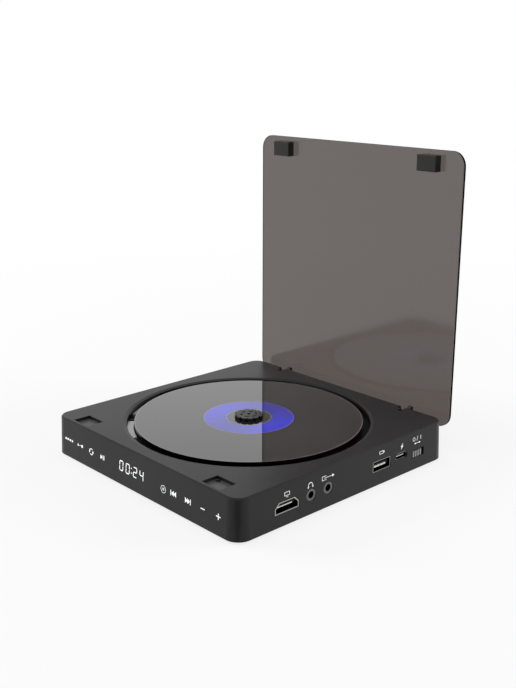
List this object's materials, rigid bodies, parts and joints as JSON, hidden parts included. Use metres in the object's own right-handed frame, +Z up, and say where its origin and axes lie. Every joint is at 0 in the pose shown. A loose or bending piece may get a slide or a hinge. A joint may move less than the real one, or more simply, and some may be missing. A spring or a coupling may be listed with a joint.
{
  "type": "portable dvd player",
  "caption": "Flat square portable disc player with a smoked see-through lid standing open, a disc on its hub, touch marks in front and sockets on the right side.",
  "frame": {"origin": "on the table plane under the feet, at the middle of the outline with the lid standing open", "axes": "+Z up, -Y towards the front with the touch marks, +X towards the side with the sockets"},
  "size_m": [0.1464, 0.1521, 0.1597],
  "materials": {
    "housing_plastic": "dark grey moulded plastic, fine matt texture",
    "well_plastic": "black moulded plastic, polished",
    "rubber": "matt",
    "block_rubber": "satin",
    "screw_steel": "bright",
    "motor_steel": "plated",
    "socket_metal": "nickel plated",
    "circuit_board": "solder mask",
    "module_plastic": "satin",
    "tongue_plastic": "satin",
    "jack_plastic": "satin",
    "battery_wrap": "shrink film",
    "lid_acrylic": "smoked, see-through, polished",
    "hub_plastic": "satin",
    "disc_plastic": "lacquered dark face with a blue inner ring",
    "gear_plastic": "natural acetal",
    "lens_plastic": "coated"
  },
  "bodies": {
    "base": {"upper_housing": "housing_plastic", "disc_well": "well_plastic", "base_cover": "housing_plastic", "rubber_feet": "rubber", "base_screws": "screw_steel", "hinge_pins": "screw_steel", "touch_board": "circuit_board", "display_module": "module_plastic", "main_board": "circuit_board", "board_screws": "screw_steel", "board_chips": "module_plastic", "hdmi_shell": "socket_metal", "hdmi_tongue": "tongue_plastic", "headphone_jack": "jack_plastic", "av_jack": "jack_plastic", "usb_shell": "socket_metal", "usb_tongue": "tongue_plastic", "charge_shell": "socket_metal", "charge_tongue": "tongue_plastic", "power_switch": "module_plastic", "lid_switch": "module_plastic", "lid_switch_board": "circuit_board", "battery_pack": "battery_wrap", "drive_chassis": "module_plastic", "drive_dampers": "rubber", "drive_screws": "screw_steel", "guide_rods": "screw_steel", "spindle_stator": "motor_steel", "sled_motor": "motor_steel", "gear_post": "screw_steel"},
    "lid": {"lid_panel": "lid_acrylic", "lid_block_left": "block_rubber", "lid_block_right": "block_rubber", "hinge_arm_left": "module_plastic", "hinge_arm_right": "module_plastic"},
    "spindle": {"spindle_rotor": "motor_steel", "spindle_shaft": "screw_steel", "turntable": "hub_plastic", "turntable_mat": "rubber"},
    "disc": {"disc": "disc_plastic"},
    "pickup": {"pickup_carriage": "module_plastic", "pickup_lens": "lens_plastic", "sled_rack": "gear_plastic"},
    "reduction_gear": {"reduction_gear": "gear_plastic"},
    "motor_pinion": {"motor_pinion": "gear_plastic"},
    "switch_knob": {"switch_knob": "hub_plastic"},
    "switch_plunger": {"switch_plunger": "gear_plastic"}
  },
  "joints": [
    {"name": "lid_hinge", "type": "hinge", "parent": "base", "child": "lid", "pos_m": [0, 0.0671, 0.0177], "axis": [1, 0, 0], "range_deg": [0, 90]},
    {"name": "spindle_spin", "type": "hinge", "parent": "base", "child": "spindle", "pos_m": [0, -0.0029, 0.0199], "axis": [0, 0, 1], "continuous": true},
    {"name": "disc_lift", "type": "slide", "parent": "spindle", "child": "disc", "axis": [0, 0, -1], "range_m": [-0.03, 0]},
    {"name": "pickup_slide", "type": "slide", "parent": "base", "child": "pickup", "axis": [-1, 0, 0], "range_m": [0, 0.034]},
    {"name": "reduction_gear_spin", "type": "hinge", "parent": "base", "child": "reduction_gear", "pos_m": [-0.019, -0.0322, 0.012], "axis": [0, 0, 1], "range_deg": [0, 650]},
    {"name": "motor_pinion_spin", "type": "hinge", "parent": "base", "child": "motor_pinion", "pos_m": [-0.01373, -0.04133, 0.012], "axis": [0, 0, 1], "range_deg": [-1625, 0]},
    {"name": "power_switch_slide", "type": "slide", "parent": "base", "child": "switch_knob", "axis": [0, 1, 0], "range_m": [0, 0.0016]},
    {"name": "lid_switch_press", "type": "slide", "parent": "base", "child": "switch_plunger", "axis": [0, 0, -1], "range_m": [0, 0.0008], "stiffness_N_per_m": 200, "springref_m": -0.0005}
  ],
  "couplings": [
    {"joint": "reduction_gear_spin", "follows": "pickup_slide", "rad_per_m": 333.33},
    {"joint": "motor_pinion_spin", "follows": "pickup_slide", "rad_per_m": -833.33}
  ]
}
